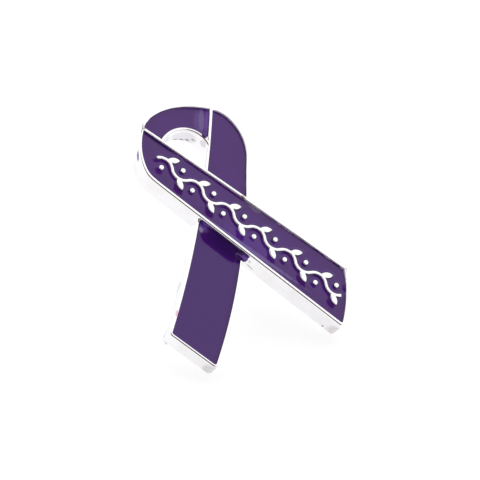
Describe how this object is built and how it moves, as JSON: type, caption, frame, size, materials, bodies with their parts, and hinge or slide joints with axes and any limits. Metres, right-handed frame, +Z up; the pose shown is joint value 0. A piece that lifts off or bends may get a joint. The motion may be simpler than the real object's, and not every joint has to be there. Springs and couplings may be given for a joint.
{
  "type": "awareness ribbon lapel pin",
  "caption": "Silver plated lapel pin shaped as a crossed ribbon, with purple enamel cells, a raised vine ornament and a straight nail at the back to go through cloth.",
  "frame": {"origin": "on the floor that the pin rests on, below the middle of its box", "axes": "+Z up from the floor, +Y along the floor from the ribbon's tails towards its loop, +X to the right of someone who looks at its face with the loop up"},
  "size_m": [0.0192, 0.0234, 0.0166],
  "materials": {
    "silver_plating": "bright silver plating, lightly worn",
    "purple_enamel": "glossy, slightly uneven surface",
    "plated_steel": "plated, fine grain"
  },
  "bodies": {
    "root": {"ribbon_casting": "silver_plating", "enamel_loop_top": "purple_enamel", "enamel_loop_side": "purple_enamel", "enamel_front_band": "purple_enamel", "enamel_back_tail": "purple_enamel", "tack_post": "plated_steel"}
  },
  "joints": []
}
